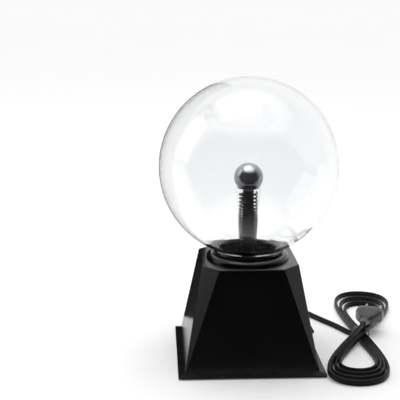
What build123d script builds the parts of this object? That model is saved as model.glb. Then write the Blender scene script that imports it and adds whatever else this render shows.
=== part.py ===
from build123d import *
import os
from math import atan2, cos, degrees, pi, radians, sin, sqrt, tan

# Plasma ball lamp: a clear glass globe on a faceted black base, mains powered, unlit.
# Millimetres, +Z up, origin on the ground under the globe's axis, front of the base toward -Y,
# rocker switch in the right side (+X), mains cord out of the back (+Y) and coiled on the right.

# ---------------------------------------------------------------- driving dimensions
globe_radius = 75.0
globe_wall = 2.0
globe_centre_z = 164.0
neck_radius = 26.0
neck_bottom = 66.0
neck_fillet = 4.0

foot_drop = 1.0
plinth_half = 60.5
plinth_edge = 1.5
plinth_rise = 1.8
plate_floor = 2.0

body_half = 55.2
body_corner = 1.2
top_half = 40.3
top_flat_half = 26.3
body_top = 86.4
shell_wall = 2.4
edge_round = 0.9

collar_radius = 35.0
collar_crest_radius = 31.0
collar_crest_height = 4.0
collar_shoulder = 0.9
collar_groove = 1.8
collar_bore = 27.3
collar_hole = 29.6

bulb_radius = 12.2
bulb_centre_z = 155.2
stem_top_radius = 10.4
stem_radius = 7.5
stem_wall = 0.9
stem_straight_top = 97.0

spring_radius = 6.4
spring_wire = 1.0
spring_pitch = 2.0

board_length = 66.0
board_width = 68.0
board_thickness = 1.6
board_x = -12.0
board_y = -3.0
board_bottom = 10.0

switch_z = 23.5
switch_swing = 20.0

cord_width = 5.4
cord_outlet_z = 14.0

gap = 0.2

# ---------------------------------------------------------------- worked-out levels
plate_bottom = foot_drop
plate_edge_top = plate_bottom + plinth_edge
body_bottom = plate_edge_top + plinth_rise
plate_top = plate_bottom + plate_floor
inner_top = body_top - shell_wall
board_top = board_bottom + board_thickness
side_slope = (body_half - top_half) / (body_top - body_bottom)
side_tilt = degrees(atan2(side_slope, 1))


def side_half(z):
    """Half width of the body across its flats at height z."""
    return body_half - side_slope * (z - body_bottom)


def octagon_points(half, flat_half):
    """Corners of a square of half width `half`, its corners cut back to `flat_half`."""
    first_side = [(flat_half, -half), (half, -flat_half)]
    return [
        (x * cos(turn) - y * sin(turn), x * sin(turn) + y * cos(turn))
        for turn in (0, pi / 2, pi, 3 * pi / 2)
        for x, y in first_side
    ]


def faceted_block(bottom_half, bottom_flat, bottom_z, upper_half, upper_flat, upper_z, rounding=0.0):
    """Frustum from a nearly square bottom to an octagonal top, with triangular corner facets."""
    with BuildPart() as block:
        with BuildSketch(Plane.XY.offset(bottom_z)):
            Polygon(*octagon_points(bottom_half, bottom_flat), align=None)
        with BuildSketch(Plane.XY.offset(upper_z)):
            Polygon(*octagon_points(upper_half, upper_flat), align=None)
        loft(ruled=True)
        if rounding:
            fillet(block.edges().filter_by(lambda edge: edge.center().Z > bottom_z + 1), rounding)
    return block.part


def corners(x, y):
    """The four places (+-x, +-y)."""
    return [(x, y), (-x, y), (-x, -y), (x, -y)]


# ================================================================ base: shell, plate, feet
screw_post = 43.0
screw_post_radius = 4.0
screw_post_top = 36.0
screw_hole_radius = 1.5
plate_boss_top = 5.5
lip_half = 51.9
lip_inner = 50.0
lip_top = 7.0
switch_bezel = (22.0, 15.0, 1.8)
switch_body_size = (19.6, 13.0, 15.0)
outlet_radius = 4.4
screw_hole_depth = 14.0
cradle_hole_depth = 8.0
board_hole_depth = 6.0
counterbore_radius = 3.3
counterbore_depth = 2.2
cradle_screw_radius = 33.0
cradle_post_radius = 3.2
cradle_top = 73.0

outer_form = faceted_block(
    body_half, body_half - body_corner, body_bottom, top_half, top_flat_half, body_top, edge_round
)
inner_form = faceted_block(
    body_half - shell_wall, body_half - shell_wall - body_corner, body_bottom,
    top_half - shell_wall, top_flat_half - body_corner, inner_top
)
switch_plane = Plane(
    origin=(side_half(switch_z), 0, switch_z),
    x_dir=(0, 1, 0),
    z_dir=(cos(radians(side_tilt)), 0, sin(radians(side_tilt))),
)
outlet_plane = Plane(
    origin=(0, side_half(cord_outlet_z), cord_outlet_z),
    x_dir=(1, 0, 0),
    z_dir=(0, cos(radians(side_tilt)), sin(radians(side_tilt))),
)

with BuildPart() as base_shell:
    add(outer_form)
    add(inner_form, mode=Mode.SUBTRACT)
    with BuildSketch(Plane.XY.offset(body_top)):
        Circle(collar_hole)
    extrude(amount=-shell_wall, mode=Mode.SUBTRACT)
    with BuildSketch(Plane.XY.offset(plate_boss_top)):
        with Locations(*corners(screw_post, screw_post)):
            Circle(screw_post_radius)
    extrude(amount=screw_post_top - plate_boss_top)
    with BuildSketch(Plane.XY.offset(cradle_top)):
        with PolarLocations(cradle_screw_radius, 4):
            Circle(cradle_post_radius)
    extrude(amount=inner_top - cradle_top)
    with BuildSketch(Plane.XY.offset(plate_boss_top)):
        with Locations(*corners(screw_post, screw_post)):
            Circle(screw_hole_radius)
    extrude(amount=screw_hole_depth, mode=Mode.SUBTRACT)
    with BuildSketch(Plane.XY.offset(cradle_top)):
        with PolarLocations(cradle_screw_radius, 4):
            Circle(screw_hole_radius)
    extrude(amount=cradle_hole_depth, mode=Mode.SUBTRACT)
    with BuildSketch(switch_plane.offset(-2 * shell_wall)):
        Rectangle(switch_body_size[1] + gap, switch_body_size[0] + gap)
    extrude(amount=4 * shell_wall, mode=Mode.SUBTRACT)
    with BuildSketch(outlet_plane.offset(-2 * shell_wall)):
        Circle(outlet_radius + gap / 2)
    extrude(amount=4 * shell_wall, mode=Mode.SUBTRACT)

foot_place = 50.5
foot_radius = 5.0
foot_recess = 0.8
standoff_radius = 3.0
board_hole_x = board_length / 2 - 4
board_hole_y = board_width / 2 - 4
board_holes = [(board_x + x, board_y + y) for x, y in corners(board_hole_x, board_hole_y)]
board_screw_radius = 1.2
clamp_y = 41.0
clamp_screw_x = 8.0
clamp_seat = 11.0

with BuildPart() as bottom_plate:
    with BuildSketch(Plane.XY.offset(plate_bottom)):
        Rectangle(2 * plinth_half, 2 * plinth_half)
    extrude(amount=plinth_edge)
    with BuildSketch(Plane.XY.offset(plate_edge_top)):
        Rectangle(2 * plinth_half, 2 * plinth_half)
    with BuildSketch(Plane.XY.offset(body_bottom)):
        Rectangle(2 * body_half, 2 * body_half)
    loft(ruled=True)
    fillet(bottom_plate.edges().filter_by(Axis.Z), 0.8)
    with BuildSketch(Plane.XY.offset(body_bottom)):
        RectangleRounded(2 * lip_half, 2 * lip_half, 4)
    extrude(amount=lip_top - body_bottom)
    with BuildSketch(Plane.XY.offset(plate_top)):
        RectangleRounded(2 * lip_inner, 2 * lip_inner, 3)
    extrude(amount=lip_top - plate_top, mode=Mode.SUBTRACT)
    with BuildSketch(Plane.XY.offset(plate_top)):
        with Locations(*corners(screw_post, screw_post)):
            Circle(screw_post_radius)
    extrude(amount=plate_boss_top - plate_top)
    with BuildSketch(Plane.XY.offset(plate_top)):
        with Locations(*board_holes):
            Circle(standoff_radius)
    extrude(amount=board_bottom - plate_top)
    with BuildSketch(Plane.XY.offset(plate_top)):
        with Locations((0, clamp_y)):
            RectangleRounded(2 * clamp_screw_x + 8, 8, 1.5)
    extrude(amount=clamp_seat - plate_top)
    with BuildSketch(Plane.XY.offset(plate_bottom)):
        with Locations(*corners(screw_post, screw_post)):
            Circle(screw_hole_radius + 0.3)
    extrude(amount=plate_boss_top - plate_bottom, mode=Mode.SUBTRACT)
    with BuildSketch(Plane.XY.offset(plate_bottom)):
        with Locations(*corners(screw_post, screw_post)):
            Circle(counterbore_radius)
    extrude(amount=counterbore_depth, mode=Mode.SUBTRACT)
    with BuildSketch(Plane.XY.offset(plate_bottom)):
        with Locations(*corners(foot_place, foot_place)):
            Circle(foot_radius + gap / 2)
    extrude(amount=foot_recess, mode=Mode.SUBTRACT)
    with BuildSketch(Plane.XY.offset(board_bottom)):
        with Locations(*board_holes):
            Circle(board_screw_radius)
    extrude(amount=-board_hole_depth, mode=Mode.SUBTRACT)
    with BuildSketch(Plane.XY.offset(clamp_seat)):
        with Locations((clamp_screw_x, clamp_y), (-clamp_screw_x, clamp_y)):
            Circle(board_screw_radius)
    extrude(amount=-board_hole_depth, mode=Mode.SUBTRACT)

with BuildPart() as rubber_feet:
    with BuildSketch():
        with Locations(*corners(foot_place, foot_place)):
            Circle(foot_radius)
    extrude(amount=foot_drop + foot_recess)
    chamfer(rubber_feet.edges().group_by(Axis.Z)[0], 0.4)


def screw_group(places, head_z, head_radius, head_height, shank_radius, shank_length, up):
    """Pan-head screws with their heads' outer faces at head_z, driven up or down."""
    drive = 1 if up else -1
    with BuildPart() as screws:
        with BuildSketch(Plane.XY.offset(head_z)):
            with Locations(*places):
                Circle(head_radius)
        extrude(amount=drive * head_height)
        with BuildSketch(Plane.XY.offset(head_z)):
            with Locations(*places):
                Circle(shank_radius)
        extrude(amount=drive * (head_height + shank_length))
        with BuildSketch(Plane.XY.offset(head_z)):
            with Locations(*places):
                Rectangle(head_radius * 1.1, head_radius * 0.28)
                Rectangle(head_radius * 0.28, head_radius * 1.1)
        extrude(amount=drive * head_height * 0.55, mode=Mode.SUBTRACT)
    return screws


base_screws = screw_group(
    corners(screw_post, screw_post), plate_bottom + 0.5, 2.9, 1.7,
    screw_hole_radius - 0.05, screw_hole_depth, up=True
)

# ================================================================ collar, gasket and cradle
gasket_bottom = 79.0
lip_outer = collar_bore + 1.1
lip_crest = body_top + 7.0

with BuildPart() as collar_ring:
    with BuildSketch(Plane.XZ):
        with BuildLine():
            shoulder = (collar_radius, body_top + collar_shoulder)
            Polyline((collar_hole - gap, body_top), (collar_radius, body_top), shoulder)
            EllipticalCenterArc(
                (collar_crest_radius, body_top + collar_shoulder),
                collar_radius - collar_crest_radius,
                collar_crest_height - collar_shoulder,
                start_angle=0,
                arc_size=90,
            )
            Polyline(
                (collar_crest_radius, body_top + collar_crest_height),
                (collar_crest_radius - 0.8, body_top + collar_crest_height - 0.5),
                (lip_outer, body_top + collar_groove),
                (lip_outer, lip_crest),
                (collar_bore, lip_crest - 0.4),
                (collar_bore, gasket_bottom + 1),
                (collar_hole - gap, gasket_bottom + 1),
                (collar_hole - gap, body_top),
            )
        make_face()
    revolve(axis=Axis.Z)

with BuildPart() as neck_gasket:
    with BuildSketch(Plane.XY.offset(gasket_bottom)):
        Circle(collar_bore)
        Circle(neck_radius, mode=Mode.SUBTRACT)
    extrude(amount=body_top + 1.2 - gasket_bottom)

cradle_floor = 2.5
cradle_bottom = neck_bottom - cradle_floor
cradle_opening = 20.0

with BuildPart() as globe_cradle:
    with BuildSketch(Plane.XZ):
        with BuildLine():
            Polyline(
                (cradle_opening, cradle_bottom),
                (neck_radius + 3, cradle_bottom),
                (neck_radius + 3, cradle_top - 3),
                (cradle_screw_radius + 3.4, cradle_top - 3),
                (cradle_screw_radius + 3.4, cradle_top),
                (neck_radius + 0.4, cradle_top),
                (neck_radius + 0.4, neck_bottom),
                (cradle_opening, neck_bottom),
                close=True,
            )
        make_face()
    revolve(axis=Axis.Z)
    with BuildSketch(Plane.XY.offset(cradle_top)):
        with PolarLocations(cradle_screw_radius, 4):
            Circle(screw_hole_radius + 0.2)
    extrude(amount=-3, mode=Mode.SUBTRACT)

cradle_screws = screw_group(
    [
        (cradle_screw_radius * cos(turn), cradle_screw_radius * sin(turn))
        for turn in (0, pi / 2, pi, 3 * pi / 2)
    ],
    cradle_top - 3 - 1.7, 2.8, 1.7, screw_hole_radius - 0.05, 9, up=True
)

# ================================================================ glass: globe and electrode stem
with BuildPart() as glass_globe:
    with BuildSketch(Plane.XZ) as globe_section:
        inner_radius = globe_radius - globe_wall
        inner_neck = neck_radius - globe_wall
        outer_reach = sqrt(globe_radius**2 - neck_radius**2)
        inner_reach = sqrt(inner_radius**2 - inner_neck**2)
        with BuildLine():
            outer_start = degrees(atan2(-outer_reach, neck_radius))
            inner_start = degrees(atan2(-inner_reach, inner_neck))
            CenterArc((0, globe_centre_z), globe_radius, outer_start, 90 - outer_start)
            Line((0, globe_centre_z + globe_radius), (0, globe_centre_z + inner_radius))
            CenterArc((0, globe_centre_z), inner_radius, inner_start, 90 - inner_start)
            Line((inner_neck, globe_centre_z - inner_reach), (inner_neck, neck_bottom))
            Line((inner_neck, neck_bottom), (neck_radius, neck_bottom))
            Line((neck_radius, neck_bottom), (neck_radius, globe_centre_z - outer_reach))
        make_face()
        bends = globe_section.vertices().filter_by(
            lambda corner: corner.X > 1 and neck_bottom + 5 < corner.Z < globe_centre_z
        )
        fillet(bends, neck_fillet)
    revolve(axis=Axis.Z)

stem_join_z = bulb_centre_z - sqrt(bulb_radius**2 - stem_top_radius**2)
flare_radius = neck_radius - globe_wall
flare_bend = 10.0


def stem_outline(inset, foot_inset):
    """Half outline of the electrode bulb, its tapered stem and its flared foot, moved in by `inset`."""
    radius = bulb_radius - inset
    join_radius = stem_top_radius - inset
    join_z = bulb_centre_z - sqrt(radius**2 - join_radius**2)
    start = degrees(atan2(join_z - bulb_centre_z, join_radius))
    dome = CenterArc((0, bulb_centre_z), radius, start, 90 - start)
    taper = Line((join_radius, join_z), (stem_radius - inset, stem_straight_top))
    shank = Line(taper @ 1, (stem_radius - inset, neck_bottom + 4 + flare_bend - foot_inset))
    flare = TangentArc(shank @ 1, (flare_radius - 6, neck_bottom + 2 - foot_inset), tangent=shank % 1)
    return dome, flare


with BuildPart() as electrode_stem:
    with BuildSketch(Plane.XZ):
        with BuildLine():
            outer_dome, outer_flare = stem_outline(0, 0)
            inner_dome, inner_flare = stem_outline(stem_wall, stem_wall)
            Line(outer_dome @ 1, inner_dome @ 1)
            Polyline(
                outer_flare @ 1,
                (flare_radius, neck_bottom + 1.4),
                (flare_radius, neck_bottom + 1.4 - stem_wall),
                inner_flare @ 1,
            )
        make_face()
    revolve(axis=Axis.Z)

coating_thickness = 0.3
coating_bottom = stem_join_z - 2.5

with BuildPart() as electrode_coating:
    with BuildSketch(Plane.XZ):
        with BuildLine():
            coat_outer = bulb_radius - stem_wall
            coat_inner = coat_outer - coating_thickness
            low_outer = stem_top_radius - stem_wall - 0.25
            outer_z = bulb_centre_z - sqrt(coat_outer**2 - low_outer**2)
            inner_z = bulb_centre_z - sqrt(coat_inner**2 - (low_outer - coating_thickness) ** 2)
            outer_angle = degrees(atan2(outer_z - bulb_centre_z, low_outer))
            inner_angle = degrees(atan2(inner_z - bulb_centre_z, low_outer - coating_thickness))
            CenterArc((0, bulb_centre_z), coat_outer, outer_angle, 90 - outer_angle)
            CenterArc((0, bulb_centre_z), coat_inner, inner_angle, 90 - inner_angle)
            Line((0, bulb_centre_z + coat_inner), (0, bulb_centre_z + coat_outer))
            Polyline(
                (low_outer, outer_z),
                (low_outer, coating_bottom),
                (low_outer - coating_thickness, coating_bottom),
                (low_outer - coating_thickness, inner_z),
            )
        make_face()
    revolve(axis=Axis.Z)

# ================================================================ electrode core
bung_bottom = 81.0
bung_top = 91.0
core_top = 144.0
core_radius = 4.6
hv_wire_radius = 1.2

with BuildPart() as stem_bung:
    with BuildSketch(Plane.XZ):
        with BuildLine():
            Polyline(
                (hv_wire_radius, bung_bottom),
                (stem_radius - stem_wall, bung_bottom),
                (stem_radius - stem_wall, bung_top),
                (hv_wire_radius, bung_top),
                close=True,
            )
        make_face()
    revolve(axis=Axis.Z)

with BuildPart() as core_tube:
    with BuildSketch(Plane.XY.offset(bung_top)):
        Circle(core_radius)
        Circle(hv_wire_radius, mode=Mode.SUBTRACT)
    extrude(amount=core_top - bung_top)

spring_turns = int((core_top - bung_top) / spring_pitch)

with BuildPart() as contact_spring:
    with BuildSketch(Plane.XY.offset(bung_top)):
        Circle(spring_radius - spring_wire / 2)
        Circle(core_radius, mode=Mode.SUBTRACT)
    extrude(amount=spring_turns * spring_pitch)
    with BuildSketch(Plane.XZ):
        turn_heights = [bung_top + spring_pitch * (n + 0.5) for n in range(spring_turns)]
        with Locations(*[(spring_radius - spring_wire / 2, height) for height in turn_heights]):
            Rectangle(spring_wire, spring_pitch * 0.7)
    revolve(axis=Axis.Z)

wool_radius = 9.6
wool_cut = 50.0

with BuildPart() as steel_wool:
    with BuildSketch(Plane.XZ):
        with BuildLine():
            CenterArc((0, bulb_centre_z), wool_radius, -wool_cut, 90 + wool_cut)
            Polyline(
                (0, bulb_centre_z + wool_radius),
                (0, core_top),
                (core_radius, core_top),
                (wool_radius * cos(radians(wool_cut)), bulb_centre_z - wool_radius * sin(radians(wool_cut))),
            )
        make_face()
    revolve(axis=Axis.Z)

# ================================================================ circuit board and its parts
with BuildPart() as circuit_board:
    with BuildSketch(Plane.XY.offset(board_bottom)):
        with Locations((board_x, board_y)):
            RectangleRounded(board_length, board_width, 2)
        with Locations(*board_holes):
            Circle(board_screw_radius + 0.2, mode=Mode.SUBTRACT)
    extrude(amount=board_thickness)

board_screws = screw_group(board_holes, board_top + 1.5, 2.4, 1.5, board_screw_radius - 0.05, 7, up=False)

core_leg = (8.0, 9.0)
leg_spacing = 22.0
transformer_x = -26.0
transformer_y = 8.0
core_height = 34.0
core_z = board_top
yoke_height = 8.0
secondary_radius = 12.0
primary_radius = 8.8
winding_bottom = core_z + yoke_height + gap
winding_height = core_height - 2 * yoke_height - 2 * gap

with BuildPart() as ferrite_core:
    frame_x = transformer_x + leg_spacing / 2
    with BuildSketch(Plane.XZ.offset(-transformer_y)):
        with Locations((frame_x, core_z + core_height / 2)):
            Rectangle(leg_spacing + core_leg[0], core_height)
            Rectangle(leg_spacing - core_leg[0], core_height - 2 * yoke_height, mode=Mode.SUBTRACT)
    extrude(amount=core_leg[1] / 2, both=True)


def winding(x, radius):
    """Coil former and winding round the core leg at x."""
    with BuildPart() as coil:
        with BuildSketch(Plane.XY.offset(winding_bottom)):
            with Locations((x, transformer_y)):
                Circle(radius)
                Rectangle(core_leg[0] + gap, core_leg[1] + gap, mode=Mode.SUBTRACT)
        extrude(amount=winding_height)
        fillet(coil.edges().filter_by(GeomType.CIRCLE), 0.8)
    return coil


hv_winding = winding(transformer_x, secondary_radius)
primary_winding = winding(transformer_x + leg_spacing, primary_radius)

sink_left = -37.0
sink_width = 30.0
sink_front = -36.0
sink_face = -21.0
sink_plate = 3.0
sink_height = 30.0
fin_count = 6
transistor_x = sink_left + sink_width / 2
transistor_screw_z = board_top + 18.0

with BuildPart() as heat_sink:
    with BuildSketch(Plane.XY.offset(board_top)):
        with Locations((sink_left + sink_width / 2, sink_face - sink_plate / 2)):
            Rectangle(sink_width, sink_plate)
        fin_depth = sink_face - sink_plate - sink_front
        fin_step = (sink_width - 1.2) / (fin_count - 1)
        fin_places = [(sink_left + 0.6 + fin_step * n, sink_front + fin_depth / 2) for n in range(fin_count)]
        with Locations(*fin_places):
            Rectangle(1.2, fin_depth)
    extrude(amount=sink_height)
    with BuildSketch(Plane.XZ.offset(-sink_face)):
        with Locations((transistor_x, transistor_screw_z)):
            Circle(1.5)
    extrude(amount=sink_plate, mode=Mode.SUBTRACT)

transistor_body = (10.0, 4.4, 9.0)
transistor_tab = (10.0, 1.3, 6.5)
lead_size = (0.9, 0.6)
lead_pitch = 2.54
lead_height = 5.0

with BuildPart() as power_transistor:
    with BuildSketch(Plane.XY.offset(board_top + lead_height)):
        with Locations((transistor_x, sink_face + transistor_body[1] / 2)):
            Rectangle(*transistor_body[:2])
    extrude(amount=transistor_body[2])
    with BuildSketch(Plane.XY.offset(board_top + lead_height + transistor_body[2])):
        with Locations((transistor_x, sink_face + transistor_tab[1] / 2)):
            Rectangle(*transistor_tab[:2])
    extrude(amount=transistor_tab[2])
    with BuildSketch(Plane.XY.offset(board_top)):
        with Locations(*[(transistor_x + lead_pitch * n, sink_face + 2.6) for n in (-1, 0, 1)]):
            Rectangle(*lead_size)
    extrude(amount=lead_height)
    with BuildSketch(Plane.XZ.offset(-sink_face)):
        with Locations((transistor_x, transistor_screw_z)):
            Circle(screw_hole_radius + 0.2)
    extrude(amount=-transistor_tab[1], mode=Mode.SUBTRACT)

with BuildPart() as transistor_screw:
    with BuildSketch(Plane.XZ.offset(-sink_face - transistor_tab[1])):
        with Locations((transistor_x, transistor_screw_z)):
            Circle(2.7)
    extrude(amount=-1.6)
    with BuildSketch(Plane.XZ.offset(-sink_face - transistor_tab[1])):
        with Locations((transistor_x, transistor_screw_z)):
            Circle(screw_hole_radius - 0.1)
    extrude(amount=transistor_tab[1] + sink_plate + 1)

can_places = [((9.3, 18.3), 7.2, 26.0), ((13.0, -8.0), 3.2, 11.0), ((13.0, -17.0), 3.2, 11.0)]

with BuildPart() as electrolytic_capacitors:
    for place, radius, height in can_places:
        with BuildSketch(Plane.XY.offset(board_top)):
            with Locations(place):
                Circle(radius)
        extrude(amount=height)
    fillet(electrolytic_capacitors.edges().filter_by(GeomType.CIRCLE), 0.6)

with BuildPart() as film_capacitors:
    with BuildSketch(Plane.XY.offset(board_top)):
        with Locations((0, -12), (0, -24)):
            Rectangle(13, 6)
    extrude(amount=11)
    fillet(film_capacitors.edges().group_by(Axis.Z)[-1], 0.7)


def axial_parts(places, radius, length, lead_span):
    """Axial components lying along X just above the board, each with two bent-down leads."""
    axis_z = board_top + radius + 0.4
    with BuildPart() as group:
        for x, y in places:
            with BuildSketch(Plane.YZ.offset(x - length / 2)):
                with Locations((y, axis_z)):
                    Circle(radius)
            extrude(amount=length)
            with BuildSketch(Plane.YZ.offset(x - lead_span / 2)):
                with Locations((y, axis_z)):
                    Rectangle(0.6, 0.6)
            extrude(amount=lead_span)
        with BuildSketch(Plane.XY.offset(board_top)):
            with Locations(*[(x + side * (lead_span - 0.6) / 2, y) for x, y in places for side in (-1, 1)]):
                Rectangle(0.6, 0.6)
        extrude(amount=radius + 0.7)
    return group


resistors = axial_parts([(0, -33), (0, -29.5), (11.5, -28), (11.5, -24)], 1.25, 6.5, 9.5)
bridge_diodes = axial_parts([(-39, -8), (-28, -8), (-39, -13), (-28, -13)], 1.35, 5.2, 9.0)

fuse_x = -27.0
fuse_y = 26.0
fuse_z = board_top + 4.2
fuse_length = 20.0
fuse_radius = 2.6

with BuildPart() as fuse:
    with BuildSketch(Plane.YZ.offset(fuse_x - fuse_length / 2)):
        with Locations((fuse_y, fuse_z)):
            Circle(fuse_radius)
    extrude(amount=fuse_length)

clip_width = 4.0
clip_offset = 7.5

with BuildPart() as fuse_clips:
    for side in (-1, 1):
        with BuildSketch(Plane.YZ.offset(fuse_x + side * clip_offset - clip_width / 2)):
            with Locations((fuse_y, fuse_z)):
                Circle(fuse_radius + 0.5)
            with Locations((fuse_y, (board_top + fuse_z) / 2)):
                Rectangle(4.6, fuse_z - board_top)
            with Locations((fuse_y, fuse_z)):
                Circle(fuse_radius, mode=Mode.SUBTRACT)
            with Locations((fuse_y, fuse_z + 3)):
                Rectangle(3.2, 4, mode=Mode.SUBTRACT)
        extrude(amount=clip_width)

block_x = 15.0
block_y = 3.0
block_height = 9.0

with BuildPart() as terminal_block:
    with BuildSketch(Plane.XY.offset(board_top)):
        with Locations((block_x, block_y)):
            Rectangle(8, 10.4)
    extrude(amount=block_height)
    with BuildSketch(Plane.XY.offset(board_top + block_height)):
        with Locations((block_x, block_y - 2.5), (block_x, block_y + 2.5)):
            Circle(1.7)
    extrude(amount=-3, mode=Mode.SUBTRACT)

# ================================================================ rocker switch
pivot_depth = 1.0
rocker_reach = 8.6
rocker_half_width = 5.0
rocker_crest = 4.8
rocker_dip = 3.6
rocker_heel = -4.1
opening_half_length = rocker_reach + 0.35
opening_half_width = rocker_half_width + 0.3
cavity_depth = 7.0
pin_radius = 1.0
pivot_plane = Plane(
    origin=switch_plane.origin - switch_plane.z_dir * pivot_depth,
    x_dir=switch_plane.z_dir,
    z_dir=(0, -1, 0),
)
rocker_plane = Plane(
    origin=pivot_plane.origin,
    x_dir=switch_plane.z_dir.rotate(Axis.Y, -switch_swing / 2),
    z_dir=(0, -1, 0),
)

with BuildPart() as switch_housing:
    with BuildSketch(switch_plane):
        RectangleRounded(switch_bezel[1], switch_bezel[0], 1.2)
    extrude(amount=switch_bezel[2])
    with BuildSketch(switch_plane):
        Rectangle(switch_body_size[1], switch_body_size[0])
    extrude(amount=-switch_body_size[2])
    with BuildSketch(switch_plane.offset(switch_bezel[2])):
        Rectangle(2 * opening_half_width, 2 * opening_half_length)
    extrude(amount=-switch_bezel[2] - cavity_depth, mode=Mode.SUBTRACT)
    with BuildSketch(pivot_plane):
        Circle(pin_radius + 0.1)
    extrude(amount=rocker_half_width + 1.0, both=True, mode=Mode.SUBTRACT)

with BuildPart() as switch_rocker:
    with BuildSketch(rocker_plane):
        with BuildLine():
            crest_rise = rocker_crest + pivot_depth
            crest_side = sqrt(rocker_reach**2 - crest_rise**2)
            heel_rise = rocker_heel + pivot_depth
            heel_side = sqrt(rocker_reach**2 - heel_rise**2)
            Polyline((crest_rise, crest_side), (rocker_dip + pivot_depth, 0), (crest_rise, -crest_side))
            ThreePointArc((crest_rise, -crest_side), (0, -rocker_reach), (heel_rise, -heel_side))
            Line((heel_rise, -heel_side), (heel_rise, heel_side))
            ThreePointArc((heel_rise, heel_side), (0, rocker_reach), (crest_rise, crest_side))
        make_face()
    extrude(amount=rocker_half_width, both=True)
    with BuildSketch(rocker_plane):
        Circle(pin_radius)
    extrude(amount=rocker_half_width + 0.9, both=True)

terminal_length = 7.0
terminal_places = [(0, -5.0), (0, 5.0)]

with BuildPart() as switch_terminals:
    with BuildSketch(switch_plane.offset(-switch_body_size[2])):
        with Locations(*terminal_places):
            Rectangle(4.8, 0.8)
    extrude(amount=-terminal_length)

# ================================================================ wiring inside the base
wire_radius = 0.9
lead_radius = 1.35
relief_inner = 6.0
wire_bend = 1.0


def wire(points, radius, bend):
    """Round wire along straight runs joined by arcs of radius `bend`."""
    with BuildPart() as lead:
        with BuildLine() as route:
            FilletPolyline(*points, radius=bend)
        with BuildSketch(Plane(origin=route.line @ 0, z_dir=route.line % 0)):
            Circle(radius)
        sweep(path=route.line)
    return lead.part


terminal_ends = [
    (switch_plane.offset(-switch_body_size[2] - terminal_length) * Pos(x, y, 0)).position
    for x, y in terminal_places
]
block_face_x = block_x + 4
wire_lead_in = Vector(3, 0, 0)

switch_leads = []
for end, side in zip(terminal_ends, (-1, 1)):
    block_end = Vector(block_face_x, block_y + 2.5 * side, board_top + 3.5)
    turn = end - switch_plane.z_dir * 3
    switch_leads.append(wire([end, turn, block_end + wire_lead_in, block_end], wire_radius, wire_bend))

with BuildPart() as switch_wires:
    add(switch_leads)

outlet_inner = outlet_plane.origin - outlet_plane.z_dir * relief_inner
lead_level = clamp_seat + lead_radius

mains_leads = []
for side, far_points in (
    (-1, [(-lead_radius, 36, lead_level), (-4, 30, 17), (-11, fuse_y, fuse_z), (fuse_x + 10, fuse_y, fuse_z)]),
    (
        1,
        [(lead_radius, 36, lead_level), (6, 32, 17), (19.5, 25, 17.5), (17, 12, 16), (17, block_y + 5.2, 16)],
    ),
):
    start = outlet_inner + Vector(side * lead_radius, 0, 0)
    before_clamp = Vector(side * lead_radius, clamp_y + 4.2, lead_level)
    mains_leads.append(wire([start, before_clamp, *far_points], lead_radius - 0.05, wire_bend))

with BuildPart() as mains_wires:
    add(mains_leads)

hv_start_y = transformer_y - secondary_radius + 1.0
hv_route = [
    (transformer_x, hv_start_y, winding_bottom + winding_height),
    (transformer_x, hv_start_y, 52.0),
    (-12.0, -4.0, 58.0),
    (0, 0, neck_bottom),
    (0, 0, core_top),
]
hv_lead = wire(hv_route, hv_wire_radius, 4.0)

with BuildPart() as hv_wire:
    add(hv_lead)

with BuildPart() as cord_clamp:
    with BuildSketch(Plane.XY.offset(clamp_seat + 2 * lead_radius)):
        with Locations((0, clamp_y)):
            RectangleRounded(2 * clamp_screw_x + 7, 7, 1.2)
    extrude(amount=2.4)
    with BuildSketch(Plane.XY.offset(clamp_seat)):
        with Locations((clamp_screw_x, clamp_y), (-clamp_screw_x, clamp_y)):
            Circle(2.8)
    extrude(amount=2 * lead_radius)
    with BuildSketch(Plane.XY.offset(clamp_seat)):
        with Locations((clamp_screw_x, clamp_y), (-clamp_screw_x, clamp_y)):
            Circle(board_screw_radius + 0.2)
    extrude(amount=10, mode=Mode.SUBTRACT)

clamp_screws = screw_group(
    [(clamp_screw_x, clamp_y), (-clamp_screw_x, clamp_y)],
    clamp_seat + 2 * lead_radius + 2.4 + 1.5, 2.4, 1.5, board_screw_radius - 0.05, 10, up=False
)

# ================================================================ mains cord, hank and plug
relief_length = 13.0
relief_tip_radius = 3.4

with BuildPart() as cord_strain_relief:
    with BuildSketch(outlet_plane.offset(-relief_inner)):
        Circle(outlet_radius)
    extrude(amount=relief_inner)
    with BuildSketch(outlet_plane):
        Circle(outlet_radius + 1.8)
    extrude(amount=2)
    with BuildSketch(outlet_plane.offset(2)):
        Circle(outlet_radius)
    with BuildSketch(outlet_plane.offset(relief_length)):
        Circle(relief_tip_radius)
    loft()
    for ring in range(4):
        with BuildSketch(outlet_plane.offset(4 + 2.2 * ring)):
            Circle(outlet_radius + 1)
            Rectangle(2.6, 2 * outlet_radius + 4, mode=Mode.SUBTRACT)
            Circle(relief_tip_radius - 0.9, mode=Mode.SUBTRACT)
        extrude(amount=1.1, mode=Mode.SUBTRACT)

cord_exit = outlet_plane.origin + outlet_plane.z_dir * relief_length
cord_floor = cord_width / 2
cord_points = [
    cord_exit,
    cord_exit + outlet_plane.z_dir * 14.5,
    Vector(5.0, 95.0, 18.6),
    Vector(15.5, 106.5, 15.0),
    Vector(31.0, 112.0, 10.0),
    Vector(47.5, 109.0, 6.0),
    Vector(61.0, 99.0, 3.6),
    Vector(70.0, 85.5, 2.8),
    Vector(77.5, 72.5, cord_floor),
    Vector(85.0, 60.5, cord_floor),
    Vector(91.0, 50.0, cord_floor),
    Vector(95.3, 40.3, cord_floor),
    Vector(100.2, 32.9, cord_floor),
]


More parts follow.
